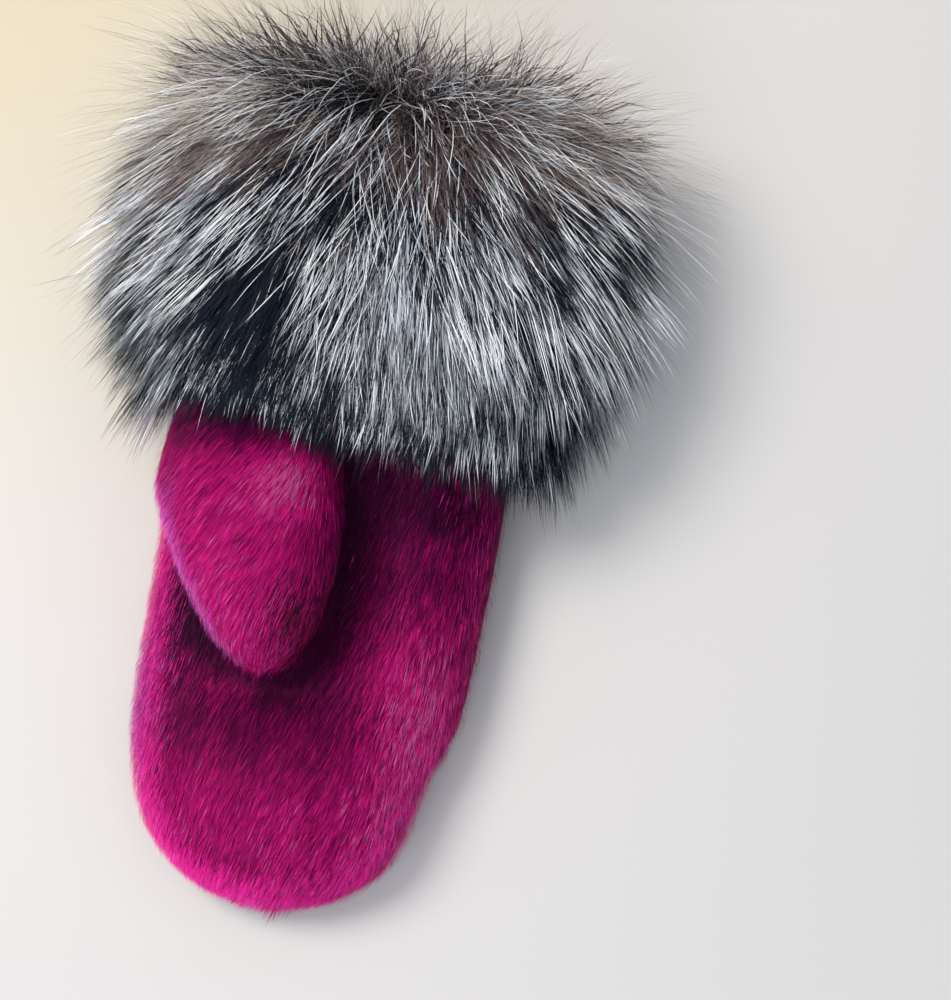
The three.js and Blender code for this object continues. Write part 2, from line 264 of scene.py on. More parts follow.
def thumb_sizes(at, grow):
    row = read(THUMB, at)
    y = SEAM_Y - THUMB_START - (THUMB_LENGTH + grow) * at
    palm = hand_sizes((SEAM_Y - y) / HAND_LENGTH, 0)["high"]
    return {
        "middle": -THUMB_OFFSET * row["aside"],
        "half": THUMB_WIDTH / 2 * row["wide"] + grow,
        "height": palm + THUMB_REST_GAP + row["rise"] * THUMB_THICKNESS,
        "tall": THUMB_THICKNESS / 2 * row["thick"] + grow,
        "y": y,
    }


def thumb_point(at, angle, grow=0):
    sizes = thumb_sizes(at, grow)
    x = sizes["middle"] + bow(np.cos(angle)) * sizes["half"]
    z = sizes["height"] + bow(np.sin(angle)) * sizes["tall"]
    return vectors(x, sizes["y"], z)


def hand_place(x, y, grow=0):
    """A place's share along the hand, the section's sizes there, and its share across."""
    at = (SEAM_Y - y) / (HAND_LENGTH + grow)
    sizes = hand_sizes(limit(at), grow)
    return at, sizes, x / np.where(x < 0, sizes["left"], sizes["right"])


def thumb_place(x, y, grow=0):
    at = (SEAM_Y - THUMB_START - y) / (THUMB_LENGTH + grow)
    sizes = thumb_sizes(limit(at), grow)
    return at, sizes, (x - sizes["middle"]) / sizes["half"]


def crown(across):
    """A round section's height at a share across it, from 0 to 1."""
    return limit(1 - np.abs(across) ** ROUNDNESS) ** (1 / ROUNDNESS)


def covered(at, across, top):
    """A height where a place lies over the form, and a low value beside it."""
    return np.where((np.abs(across) < 1) & (at > 0) & (at < 1), top, -1.0)


def hand_cover(x, y):
    at, sizes, across = hand_place(x, y)
    rise = crown(across)
    dent = dents(at, across) * limit(2 * rise)
    return covered(at, across, sizes["seam"] + rise * (sizes["high"] - sizes["seam"]) - dent)


def thumb_cover(x, y):
    at, sizes, across = thumb_place(x, y)
    return covered(at, across, sizes["height"] + crown(across) * sizes["tall"])


# Meshes


def link(name, mesh):
    piece = bpy.data.objects.new(name, mesh)
    bpy.context.scene.collection.objects.link(piece)
    return piece


def new_mesh(name, points, faces):
    mesh = bpy.data.meshes.new(name)
    mesh.from_pydata(np.reshape(points, (-1, 3)).tolist(), [], faces)
    return mesh


def mesh_piece(name, points, faces):
    mesh = new_mesh(name, points, faces)
    mesh.validate()
    mesh.update()
    return link(name, mesh)


def loft(name, rings):
    """A closed body through rings of points, capped at both ends."""
    count, sides, _ = rings.shape
    points = np.concatenate([rings.reshape(-1, 3), rings[:1].mean(1), rings[-1:].mean(1)])
    ring = np.arange(count - 1)[:, None] * sides
    side = np.arange(sides)[None, :]
    nxt = (side + 1) % sides
    walls = np.stack([ring + side, ring + side + sides, ring + nxt + sides, ring + nxt], axis=-1)
    first, last = len(points) - 2, len(points) - 1
    end = (count - 1) * sides
    faces = walls.reshape(-1, 4).tolist()
    faces += [(first, int(s), int(n)) for s, n in zip(side[0], nxt[0])]
    faces += [(last, int(end + n), int(end + s)) for s, n in zip(side[0], nxt[0])]
    piece = mesh_piece(name, points, faces)
    if signed_volume(piece.data) < 0:
        piece.data.flip_normals()
    return piece


def signed_volume(mesh):
    mesh.calc_loop_triangles()
    corners = np.array([[mesh.vertices[i].co for i in t.vertices] for t in mesh.loop_triangles])
    return np.einsum("ij,ij->i", corners[:, 0], np.cross(corners[:, 1], corners[:, 2])).sum()


def cut(piece, tool, how="DIFFERENCE"):
    modifier = piece.modifiers.new("cut", "BOOLEAN")
    modifier.operation = how
    modifier.solver = "EXACT"
    modifier.object = tool
    graph = bpy.context.evaluated_depsgraph_get()
    mesh = bpy.data.meshes.new_from_object(piece.evaluated_get(graph))
    piece.modifiers.clear()
    piece.data = mesh
    return piece


def drop(*pieces):
    for piece in pieces:
        bpy.data.objects.remove(piece)


def rounds(sides):
    return np.arange(sides) / sides * 2 * math.pi


def towards_tip(stations, crowding):
    """Shares from 0 to 1 that lie closer together towards the tip."""
    return 1 - (1 - np.linspace(0, 1, stations)) ** crowding


def hand_form(name, grow, overrun=0.0, stations=46, sides=112):
    at = towards_tip(stations, 1.35)
    rings = hand_point(at[:, None], rounds(sides)[None, :], grow)
    if overrun:
        extra = rings[:1].copy()
        extra[..., 1] += overrun
        rings = np.concatenate([extra, rings])
    return loft(name, rings)


def thumb_form(name, grow, stations=40, sides=64):
    at = towards_tip(stations, 1.5)
    return loft(name, thumb_point(at[:, None], rounds(sides)[None, :], grow))


def cuff_form(name, grow, start, end, stations=14, sides=112):
    at = np.linspace(start, end, stations)
    return loft(name, cuff_point(at[:, None], rounds(sides)[None, :], grow))


def below_seam(shift, reach=0.4):
    """Everything below the side seam."""
    at = np.concatenate([[-1.0], np.linspace(0, 1, 30), [2.0]])
    seam = hand_sizes(limit(at), 0)["seam"] + shift
    rings = np.zeros((len(at), 4, 3))
    rings[..., 0] = [-reach, reach, reach, -reach]
    rings[..., 1] = (SEAM_Y - HAND_LENGTH * at)[:, None]
    rings[..., 2] = -reach
    rings[:, 2:, 2] = seam[:, None]
    return loft("below_seam", rings)


# Materials


class Nodes:
    """A material's nodes, made and joined in short calls."""

    def __init__(self, name):
        self.material = bpy.data.materials.new(name)
        self.material.use_nodes = True
        self.tree = self.material.node_tree
        self.shader = self.tree.nodes["Principled BSDF"]

    def node(self, kind, values=(), **settings):
        made = self.tree.nodes.new(kind)
        for name, value in settings.items():
            setattr(made, name, value)
        for socket, value in dict(values).items():
            if isinstance(value, bpy.types.NodeSocket):
                self.tree.links.new(value, made.inputs[socket])
            else:
                made.inputs[socket].default_value = value
        return made

    def math(self, how, first, second=0.0, third=0.0):
        values = {0: first, 1: second, 2: third}
        return self.node("ShaderNodeMath", values, operation=how).outputs[0]

    def steps(self, low, high, value):
        values = {"Value": value, "From Min": low, "From Max": high}
        made = self.node("ShaderNodeMapRange", values, interpolation_type="SMOOTHSTEP")
        return made.outputs["Result"]

    def mix(self, share, first, second, how="MIX"):
        values = {0: share}
        for socket, value in ((6, first), (7, second)):
            values[socket] = (*value, 1) if isinstance(value, tuple) else value
        return self.node("ShaderNodeMix", values, data_type="RGBA", blend_type=how).outputs[2]

    def ramp(self, value, stops):
        made = self.node("ShaderNodeValToRGB", {0: value})
        elements = made.color_ramp.elements
        while len(elements) < len(stops):
            elements.new(0.5)
        for element, (place, colour) in zip(elements, stops):
            element.position = place
            element.color = (*colour, 1)
        return made.outputs["Color"]

    def noise(self, scale, detail, line=None):
        """Noise over the piece, or along a value."""
        values = {"Scale": scale, "Detail": detail}
        if line is None:
            values["Vector"] = self.place()
        else:
            values["W"] = line
        dimensions = "3D" if line is None else "1D"
        return self.node("ShaderNodeTexNoise", values, noise_dimensions=dimensions).outputs["Fac"]

    def place(self):
        return self.node("ShaderNodeTexCoord").outputs["Object"]

    def bump(self, height, distance, strength):
        values = {"Height": height, "Distance": distance, "Strength": strength}
        self.join(self.node("ShaderNodeBump", values).outputs["Normal"], "Normal")

    def join(self, output, socket):
        self.tree.links.new(output, self.shader.inputs[socket])

    def set(self, **values):
        for name, value in values.items():
            self.shader.inputs[name.replace("_", " ")].default_value = value


# Colours of each kind of hair from root to tip. Each kind has a band of its own in the
# hair's map, and inside it the hair runs up from root to tip.
DYED_KINDS = 4
# Of the dyed kinds, the violet one is a painted sheen on edges that face the light, and the fringe one
# a painted glow of light through the hair at the outline; the worn one is real wear.
DYED, VIOLET_SHEEN, WORN, FRINGE_GLOW = range(DYED_KINDS)
CUFF_KINDS = 5
SILVER, WHITE, BROWN, CREAM, BLACK = range(CUFF_KINDS)
BAND_EDGE = 0.06  # of a band's height that is kept free at both ends
DYED_ROOTS = [
    (0.0, (0.008, 0.0004, 0.008)),
    (0.4, (0.045, 0.0006, 0.02)),
    (0.7, (0.2, 0.002, 0.06)),
    (1.0, (0.34, 0.02, 0.13)),
]
# The palest end of these tips, reached by the highest keys, is where the painted highlights and
# painted glints land.
DYED_TIPS = [
    (0.0, (0.028, 0.0006, 0.022)),
    (0.25, (0.12, 0.001, 0.055)),
    (0.5, (0.44, 0.003, 0.145)),
    (0.72, (0.86, 0.01, 0.28)),
    (0.9, (0.92, 0.03, 0.36)),
    (1.0, (0.86, 0.3, 0.64)),
]
# The violet hair's colours paint a sheen, for hair on edges that face the light.
VIOLET_SHEEN_HAIR = [(0.0, (0.05, 0.002, 0.04)), (0.5, (0.52, 0.02, 0.36)), (1.0, (0.95, 0.26, 0.86))]
WORN_HAIR = [(0.0, (0.004, 0.001, 0.003)), (0.75, (0.014, 0.001, 0.008)), (1.0, (0.6, 0.04, 0.17))]
# The fringe hair's colours paint a glow of light through the hair at the outline.
FRINGE_GLOW_HAIR = [(0.0, (0.5, 0.002, 0.21)), (0.4, (1.0, 0.008, 0.37)), (1.0, (1.0, 0.07, 0.52))]
CUFF_HAIRS = {
    SILVER: [
        (0.0, (0.01, 0.01, 0.012)),
        (0.4, (0.012, 0.012, 0.015)),
        (0.5, (0.7, 0.81, 1.0)),
        (0.8, (0.84, 0.92, 1.0)),
        (0.9, (0.008, 0.01, 0.016)),
        (1.0, (0.005, 0.007, 0.012)),
    ],
    WHITE: [
        (0.0, (0.06, 0.055, 0.06)),
        (0.2, (0.45, 0.46, 0.52)),
        (0.4, (0.88, 0.94, 1.0)),
        (0.9, (0.92, 0.96, 1.0)),
        (1.0, (0.3, 0.32, 0.38)),
    ],
    BROWN: [
        (0.0, (0.026, 0.017, 0.016)),
        (0.5, (0.1, 0.068, 0.064)),
        (0.8, (0.155, 0.112, 0.108)),
        (1.0, (0.22, 0.172, 0.165)),
    ],
    CREAM: [
        (0.0, (0.07, 0.055, 0.05)),
        (0.4, (0.3, 0.25, 0.225)),
        (0.8, (0.68, 0.63, 0.56)),
        (1.0, (0.85, 0.81, 0.74)),
    ],
    BLACK: [
        (0.0, (0.005, 0.005, 0.007)),
        (0.5, (0.007, 0.01, 0.017)),
        (0.85, (0.011, 0.017, 0.03)),
        (1.0, (0.008, 0.012, 0.022)),
    ],
}


def hair_nodes(name, kinds):
    """A hair material's nodes, with the hair's key, its kind and its share from root to tip."""
    nodes = Nodes(name)
    place = nodes.node("ShaderNodeUVMap", uv_map="OFBake")
    split = nodes.node("ShaderNodeSeparateXYZ", {0: place.outputs["UV"]})
    height = nodes.math("MULTIPLY", split.outputs["Y"], kinds)
    kind = nodes.math("FLOOR", height)
    inside = nodes.math("FRACT", height)
    share = nodes.math("DIVIDE", nodes.math("SUBTRACT", inside, BAND_EDGE), 1 - 2 * BAND_EDGE)
    return nodes, split.outputs["X"], kind, share


def shaded(nodes, colour, key, scale, low, high):
    """A colour made lighter or darker from hair to hair."""
    shade = nodes.math("MULTIPLY_ADD", nodes.noise(scale, 0.0, line=key), high - low, low)
    grey = nodes.node("ShaderNodeCombineColor", {0: shade, 1: shade, 2: shade}).outputs[0]
    return nodes.mix(1.0, colour, grey, "MULTIPLY")


def pick(nodes, kind, number, colour, other):
    """One colour where the hair is of a kind, and the other elsewhere."""
    return nodes.mix(nodes.math("COMPARE", kind, number, 0.5), other, colour)


def dyed_hair():
    """Short dyed hair, from dark burgundy to pale pink by its key."""
    nodes, key, kind, share = hair_nodes("dyed_hair", DYED_KINDS)
    blend = nodes.steps(0.1, 0.85, share)
    colour = nodes.mix(blend, nodes.ramp(key, DYED_ROOTS), nodes.ramp(key, DYED_TIPS))
    for number, stops in ((VIOLET_SHEEN, VIOLET_SHEEN_HAIR), (WORN, WORN_HAIR), (FRINGE_GLOW, FRINGE_GLOW_HAIR)):
        colour = pick(nodes, kind, number, nodes.ramp(share, stops), colour)
    nodes.join(shaded(nodes, colour, key, 260, 0.5, 1.16), "Base Color")
    nodes.set(Roughness=0.45, Specular_IOR_Level=0.15, Specular_Tint=(1.0, 0.3, 0.66, 1))
    return nodes.material


def cuff_hair():
    """Guard hair, whose pale band starts and ends at a place of its own on each hair."""
    nodes, key, kind, share = hair_nodes("cuff_hair", CUFF_KINDS)
    wander = nodes.math("MULTIPLY_ADD", nodes.noise(250, 0.0, line=key), 0.26, -0.13)
    place = nodes.math("ADD", share, wander)
    colour = nodes.ramp(place, CUFF_HAIRS[SILVER])
    for number in (WHITE, BROWN, CREAM, BLACK):
        where = share if number == WHITE else place
        colour = pick(nodes, kind, number, nodes.ramp(where, CUFF_HAIRS[number]), colour)
    nodes.join(shaded(nodes, colour, key, 700, 0.66, 1.22), "Base Color")
    nodes.set(Roughness=0.42, Specular_IOR_Level=0.06)
    return nodes.material


def pelt(name, dark, light):
    """Matted hair roots on skin: mottled, with a fine short nap."""
    nodes = Nodes(name)
    patches = nodes.noise(60, 4.0)
    fine = nodes.noise(1320, 3.0)
    nodes.join(nodes.ramp(patches, [(0.3, dark), (0.7, light)]), "Base Color")
    nodes.bump(fine, 0.4 * MM, 0.8)
    nodes.set(Roughness=0.85, Specular_IOR_Level=0.05)
    return nodes.material


def suede():
    """The flesh side of the skin: pale brown, with a fine nap and soft creases."""
    nodes = Nodes("suede")
    blotch = nodes.noise(38, 4.0)
    nap = nodes.noise(1600, 4.0)
    colour = nodes.ramp(blotch, [(0.25, (0.2, 0.145, 0.11)), (0.75, (0.33, 0.25, 0.195))])
    fleck = nodes.ramp(nap, [(0.35, (0.72, 0.72, 0.72)), (0.7, (1.0, 1.0, 1.0))])
    nodes.join(nodes.mix(1.0, colour, fleck, "MULTIPLY"), "Base Color")
    nodes.bump(nodes.math("MULTIPLY_ADD", blotch, 2.0, nap), 0.5 * MM, 0.7)
    nodes.set(Roughness=0.92, Specular_IOR_Level=0.15, Sheen_Weight=0.35, Sheen_Roughness=0.5)
    return nodes.material


WARM_LIGHT_POOL = (-0.2, 0.27, 0.0)  # the middle of the floor's painted pool of warm light


def paper():
    """The white surface, with a painted pool of warm light in one corner."""
    nodes = Nodes("floor")
    tone = nodes.noise(2.2, 2.0)
    near = nodes.ramp(tone, [(0.3, (0.64, 0.625, 0.6)), (0.7, (0.67, 0.655, 0.63))])
    values = {0: nodes.place(), 1: WARM_LIGHT_POOL}
    away = nodes.node("ShaderNodeVectorMath", values, operation="DISTANCE").outputs["Value"]
    # Painted light: darker farther from the corner as light falls off, and a painted pool of warm
    # light around it.
    plain = nodes.mix(nodes.steps(0.1, 0.55, away), near, (0.575, 0.572, 0.565))
    nodes.join(nodes.mix(nodes.steps(0.34, 0.0, away), plain, (0.6, 0.535, 0.385)), "Base Color")
    nodes.set(Roughness=0.75, Specular_IOR_Level=0.2)
    return nodes.material


# Hair


def map_hairs(mesh, key, kind, kinds, shares, sides, material):
    """Gives each hair its place in the hair's map: its key across, its kind and share up."""
    u = np.clip(key, 0.01, 0.99)[:, None] + 0.003 * sides
    v = (kind[:, None] + BAND_EDGE + (1 - 2 * BAND_EDGE) * shares) / kinds
    corner = np.zeros(len(mesh.loops), np.int32)
    mesh.loops.foreach_get("vertex_index", corner)
    places = np.stack([u.ravel(), v.ravel()], axis=-1)[corner]
    mesh.uv_layers.new(name="OFBake").data.foreach_set("uv", places.astype(np.float32).ravel())
    mesh.polygons.foreach_set("use_smooth", np.ones(len(mesh.polygons), bool))
    mesh.materials.append(material)
    mesh.update()


def ribbons(name, paths, widths, out, twist):
    """Flat tapering hairs in one mesh. paths runs hairs x points from root to tip."""
    hairs, count, _ = paths.shape
    along = unit(np.gradient(paths, axis=1))
    flat = unit(np.cross(along, out[:, None, :]))
    raised = np.cross(flat, along)
    turn = twist[:, None, None]
    half = (flat * np.cos(turn) + raised * np.sin(turn)) * widths[..., None] / 2
    points = np.concatenate([(paths - half)[:, :-1], (paths + half)[:, :-1], paths[:, -1:]], axis=1)
    step = np.arange(count - 2)
    quads = np.stack([step, step + count - 1, step + count, step + 1], axis=-1)
    first = (np.arange(hairs) * (2 * count - 1))[:, None, None]
    ends = np.array([[count - 2, 2 * count - 3, 2 * count - 2]])
    faces = (first + quads).reshape(-1, 4).tolist() + (first + ends).reshape(-1, 3).tolist()
    share = np.linspace(0, 1, count)
    shares = np.concatenate([share[:-1], share[:-1], share[-1:]])
    sides = np.repeat([-1, 1, 0], [count - 1, count - 1, 1])
    return new_mesh(name, points, faces), shares, sides


def blades(name, root, middle, tip, across):
    """Short hairs of two triangles each, widest at their middle."""
    points = np.stack([root, middle - across / 2, middle + across / 2, tip], axis=1)
    first = (np.arange(len(root)) * 4)[:, None, None]
    faces = (first + np.array([[0, 2, 1], [1, 2, 3]])).reshape(-1, 3).tolist()
    return new_mesh(name, points, faces), np.array([0, 0.5, 0.5, 1]), np.array([0, -1, 1, 0])


def waves(points, size, seed):
    """A soft repeatable unevenness from -1 to 1 over places, with features of a size."""
    draw = np.random.default_rng(seed)
    total = 0
    for _ in range(6):
        way = unit(draw.normal(size=3)) * draw.uniform(0.7, 1.6) * 2 * math.pi / size
        total = total + np.sin(points @ way + draw.uniform(0, 2 * math.pi))
    return total / 3.2


def spot(points, x, y, wide, long):
    """A soft spot's share over places, from its middle and reach in millimetres."""
    aside = (points[..., 0] / MM - x) / wide
    along = (points[..., 1] / MM - y) / long
    return np.exp(-(aside**2) - along**2)


def spots(points, rows):
    """The sum of soft spots, each by its middle, its reach and how much it adds."""
    return sum(much * spot(points, *place) for *place, much in rows)


def spread_roots(surface, count, draw, at_range, angle_range, weight):
    """Places on a surface, as evenly spread as its weight asks."""
    at = np.linspace(*at_range, 161)
    angle = np.linspace(*angle_range, 221)
    corners = surface(at[:, None], angle[None, :])
    across = corners[:-1, 1:] - corners[:-1, :-1]
    along = corners[1:, :-1] - corners[:-1, :-1]
    area = np.linalg.norm(np.cross(across, along), axis=-1)
    share = area * weight(corners[:-1, :-1])
    cell = draw.choice(share.size, count, p=(share / share.sum()).ravel())
    row, column = np.unravel_index(cell, share.shape)
    place = at[row] + draw.random(count) * (at[1] - at[0])
    return place, angle[column] + draw.random(count) * (angle[1] - angle[0])


def out_of(surface, at, angle):
    """Points of a surface and the ways out from it."""
    step = 1e-3
    along = surface(at + step, angle) - surface(at - step, angle)
    around = surface(at, angle + step) - surface(at, angle - step)
    return surface(at, angle), unit(np.cross(around, along))


# Soft spots of painted light on the dyed hair, and how much lighter it is there: painted shade in the
# valley beside the thumb, along its outline, under its tip, under the cuff's edge and on sides turned
# from the light, and painted sheen and highlights on sides that face it
PALM_SHADE_AND_SHEEN = [
    (16, 40, 13, 52, -0.34),
    (32, 50, 28, 13, -0.34),
    (30, 22, 20, 22, -0.15),
    (-14, -44, 38, 17, -0.28),
    (12, -24, 20, 18, -0.16),
    (46, 34, 15, 40, -0.22),
    (42, -24, 11, 34, 0.16),
    (46, -72, 12, 18, 0.2),
    (47, -42, 9, 36, 0.12),
    (-12, -92, 22, 10, -0.04),
    (-8, -74, 34, 16, -0.02),
    (-56, -40, 9, 26, 0.34),
    (-45, 6, 14, 36, -0.62),
    (-34, -2, 30, 10, -0.2),
]
THUMB_SHADE_AND_SHEEN = [
    (-14, 44, 13, 13, 0.3),
    (6, 34, 8, 40, -0.3),
    (-28, 67, 38, 16, -0.58),
    (-34, 2, 12, 22, 0.1),
]


def streaks(points, lean, seed):
    """An unevenness that runs in long fine lines with the lie of the hair."""
    across = points[:, 0] + lean * points[:, 1]
    lines = vectors(across, 0.1 * points[:, 1], points[:, 2])
    return waves(lines, 0.55 * MM, seed) * 0.8 + waves(lines, 2.3 * MM, seed + 1) * 0.08


# Short hair's sizes, and its rise off the skin in degrees
SHORT_LONG = (8.0, 11.5)  # in millimetres, as all lengths and widths of hair here
SHORT_WIDE = (0.13, 0.22)
LYING_RISE = (6, 11)
STANDING_RISE = (18, 50)
STANDING_SIZE = 0.7  # of standing hair, as a share of the rest's
STANDING_LEAST = 0.03  # share of hair that stands off everywhere
ROOT_DEPTH = 0.4 * MM
MIDDLE_TONE = 0.58


def short_fur(name, form, count, seed, reach, look, keep):
    """Short sleek hair on a form's skin, lying towards the fingertips. look gives its lean and
    tone with painted shade and highlights, and how much of it stands off, has painted glints or is
    of another kind."""

    def skin(at, angle):
        return form(at, angle, -HAIR_ROOM)

    draw = np.random.default_rng(seed)
    at, angle = spread_roots(skin, count, draw, *reach, keep)
    root, out = out_of(skin, at, angle)
    stands = draw.random(count) < STANDING_LEAST + look["stands"](root, out)
    tufts = waves(root, 10 * MM, seed + 1)
    lean = look["lean"](root)
    way = vectors(lean, -1.0, 0.0)
    way = way + draw.normal(0, 0.05, (count, 3)) + 0.05 * tufts[:, None] * [1, 0, 0]
    way = unit(way - (way * out).sum(1, keepdims=True) * out)
    size = np.where(stands, STANDING_SIZE, 1)
    long = draw.uniform(*SHORT_LONG, count) * MM * (1 + 0.1 * tufts) * size
    standing = draw.uniform(*STANDING_RISE, count)
    rise = np.radians(np.where(stands, standing, draw.uniform(*LYING_RISE, count)))
    rise = rise * (1 + 0.12 * waves(root, 4 * MM, seed + 2))
    points = [root - ROOT_DEPTH * out]
    for bent in (1.25, 0.35):
        lift = (rise * bent)[:, None]
        points.append(points[-1] + (long / 2)[:, None] * (way * np.cos(lift) + out * np.sin(lift)))
        points[-1][:, 2] = np.maximum(points[-1][:, 2], FLOOR_CLEAR)
    flat = unit(np.cross(way, out))
    turn = draw.normal(0, 0.35, count)[:, None]
    wide = (draw.uniform(*SHORT_WIDE, count) * MM * size)[:, None]
    across = (flat * np.cos(turn) + out * np.sin(turn)) * wide
    mesh, shares, sides = blades(name, *points, across)
    # The key holds the hair's own tone, streaks and waves, and the look's painted shade and
    # highlights; the look's glint share widens its spread into painted glints.
    key = MIDDLE_TONE + look["tone"](root) + 0.27 * streaks(root, lean, seed + 5)
    key = key + 0.04 * waves(root, 30 * MM, seed + 3)
    key = key + draw.normal(0, 1, count) * (0.08 + 0.15 * look["painted_glints"](root))
    kind = np.full(count, DYED)
    for number, share in look["kinds"].items():
        kind = np.where(draw.random(count) < share(root, out), number, kind)
    map_hairs(mesh, np.clip(key, *KEYS), kind, DYED_KINDS, shares, sides, dyed)
    place_piece(link(name, mesh), "dyed_fur")


AROUND = (0, 2 * math.pi)
KEYS = (0.02, 0.98)  # least and most of a hair's key
NEAR_THUMB = (-34, 110, 26, 30)  # the roots of the hair that ends over the thumb
TUFT_SPREAD = 2.4 * MM
TUFT_GATHER = (0.25, 0.85)  # how far a tuft's hairs close up towards their tips
TUFT_LIKENESS = 0.82  # share of a tuft's hairs that are of one kind
TUFT_KEYS = 0.002  # how far their keys, and so their bands, differ
BROWN_FINENESS = 0.6  # width of brown and cream hair, as a share of the rest's


def fur_paths(at, angle, bend_by, lean, long, count):
    """Cuff hairs from root to tip: they leave the skin, fall over and lie down."""
    flow = read(FUR_FLOW, at)
    root = cuff_point(at, angle)
    turn = 0.02
    around = unit(cuff_point(at, angle + turn) - cuff_point(at, angle - turn))
    out = vectors(around[:, 2], 0.0, -around[:, 0])
    under = smooth(0.1, 0.8, -out[:, 2])
    over = np.maximum(out[:, 2], 0)
    aside = np.abs(out[:, 0]) * (1 - under)
    spread = aside * smooth(1.0, 0.3, at)
    falling = -SIDE_FALL * np.sin(2 * angle) * over * smooth(-0.1, 0.7, at)
    lean = lean + falling * (1 - 0.6 * smooth(0.78, 1.0, at))
    above_thumb = spot(root, *NEAR_THUMB) * (root[:, 2] > band_high.z / 2)
    long = long * (1 - OVER_THUMB * above_thumb)
    points = [root]
    for share in (np.arange(count - 1) + 0.5) / (count - 1):
        bend = flow["start"] + (flow["end"] - flow["start"]) * np.sqrt(share)
        bend = np.radians(bend + bend_by + SIDE_SPREAD * spread)
        rise = np.sin(bend) * (1 - 0.8 * under)
        way = vectors(0.0, -np.cos(bend), 0.0) + out * rise[:, None]
        way = way + around * (lean * (0.4 + 0.9 * share))[:, None]
        way[:, 2] -= 0.6 * np.sin(bend) * over
        step = (long * (1 + SIDE_LONGER * aside) / (count - 1))[:, None]
        points.append(points[-1] + unit(way) * step)
    return np.stack(points, axis=1), out


def keep_inside(paths):
    """Shortens hairs that would reach past the room that the looks may take."""
    low, high = np.array(cad_box)
    spare = HAIR_OVERHANG_SHARE * (high - low) + HAIR_OVERHANG
    root = paths[:, :1]
    reach = paths - root
    room = np.where(reach > 0, high + spare - root, root - low + spare)
    over = np.maximum((np.abs(reach) / room).max(axis=(1, 2)), 1)
    return root + reach / over[:, None, None]


def rest_on_hand(paths, out, clear):
    """Lifts hairs that would run through the palm or thumb, and keeps them off the floor."""
    x, y, z = np.moveaxis(paths, -1, 0)
    top = np.maximum(hand_cover(x, y), thumb_cover(x, y))
    above = out[:, None, 2] > -0.25
    shares = np.linspace(0, 1, paths.shape[1])[None, :]
    lifted = np.where(above & (top > 0) & (shares > 0.05), np.maximum(z, top + clear * shares), z)
    sizes = hand_place(x, y)[1]
    below = ~above & (np.abs(x) < sizes["left"]) & (y < SEAM_Y)
    pressed = np.maximum(sizes["low"] - HAIR_PRESSED, FLOOR_CLEAR)
    lifted = np.where(below, np.minimum(lifted, pressed), lifted)
    paths[..., 2] = np.maximum(lifted, FLOOR_CLEAR)
    return paths


def thinner_under(corners):
    """Fewer roots under the cuff, where the hair is pressed and hidden."""
    return 1 - 0.62 * smooth(0.45, 0.1, corners[..., 2] / band_high.z)


def cuff_hairs(name, paths, out, widths, twist, key, kind):
    mesh, shares, sides = ribbons(name, paths, widths, out, twist)
    map_hairs(mesh, key, kind, CUFF_KINDS, shares, sides, banded)
    place_piece(link(name, mesh), "silver_fur")


def guard_fur(
    name, count, seed, at_range, kinds, wide, points=6, tuft=12, loose=1.0, longer=1.0, lift=0.0
):
    """Long guard hair in tufts. lift is how many degrees further it stands up."""
    draw = np.random.default_rng(seed)
    tufts = count // tuft
    at, angle = spread_roots(cuff_point, tufts, draw, at_range, AROUND, thinner_under)
    bend_by = draw.normal(lift, 3.5 * loose, tufts)
    lean = draw.normal(0, 0.08 * loose, tufts) + 0.12 * waves(cuff_point(at, angle), 50 * MM, 5)
    long = read(FUR_FLOW, at)["long"] * MM * draw.uniform(0.9, 1.08, tufts) * longer
    core, _ = fur_paths(at, angle, bend_by, lean, long, points)
    own = np.arange(count) % tufts
    radius = np.linalg.norm(cuff_point(at, angle)[own][:, [0, 2]] - [0, band_high.z / 2], axis=1)
    hair_at = np.clip(at[own] + draw.normal(0, TUFT_SPREAD / CUFF_LENGTH, count), -0.12, 1.03)
    hair_angle = angle[own] + draw.normal(0, 1, count) * TUFT_SPREAD / radius
    hair_long = long[own] * draw.uniform(0.74, 1.06, count)
    hair_bend = bend_by[own] + draw.normal(0, 2.4 * loose, count)
    hair_lean = lean[own] + draw.normal(0, 0.035 * loose, count)
    paths, out = fur_paths(hair_at, hair_angle, hair_bend, hair_lean, hair_long, points)
    gather = draw.uniform(*TUFT_GATHER, count)[:, None, None]
    shares = np.linspace(0, 1, points)
    paths = paths + (core[own] - paths) * gather * (shares**1.4)[None, :, None]
    wave = draw.normal(0, 0.45, (count, 1, 3)) * MM * np.sin(shares * 5)[None, :, None]
    paths = rest_on_hand(keep_inside(paths + wave), out, 3 * MM)
    profile = np.interp(shares, [0, 0.12, 0.8, 1], [0.55, 1, 0.9, 0.0])
    key = draw.uniform(*KEYS, tufts)[own] + draw.normal(0, TUFT_KEYS, count)
    follows = draw.random(count) < TUFT_LIKENESS
    choice = np.where(follows, draw.random(tufts)[own], draw.random(count))
    kind = kinds(paths[:, 2 * points // 3], hair_at, choice)
    fine = np.where((kind == BROWN) | (kind == CREAM), BROWN_FINENESS, 1)
    fine = fine * (1 - 0.4 * smooth(0.88, 0.98, hair_at))
    widths = (draw.uniform(*wide, count) * fine)[:, None] * MM * profile[None, :]
    cuff_hairs(name, paths, out, widths, draw.normal(0, 0.35, count), key, kind)


def choose(choice, shares, rest):
    """A kind of hair for each choice from 0 to 1, by the shares of the kinds."""
    kind = np.full(len(choice), rest)
    reached = 0
    for number, share in shares:
        kind = np.where((choice >= reached) & (choice < reached + share), number, kind)
        reached = reached + share
    return kind


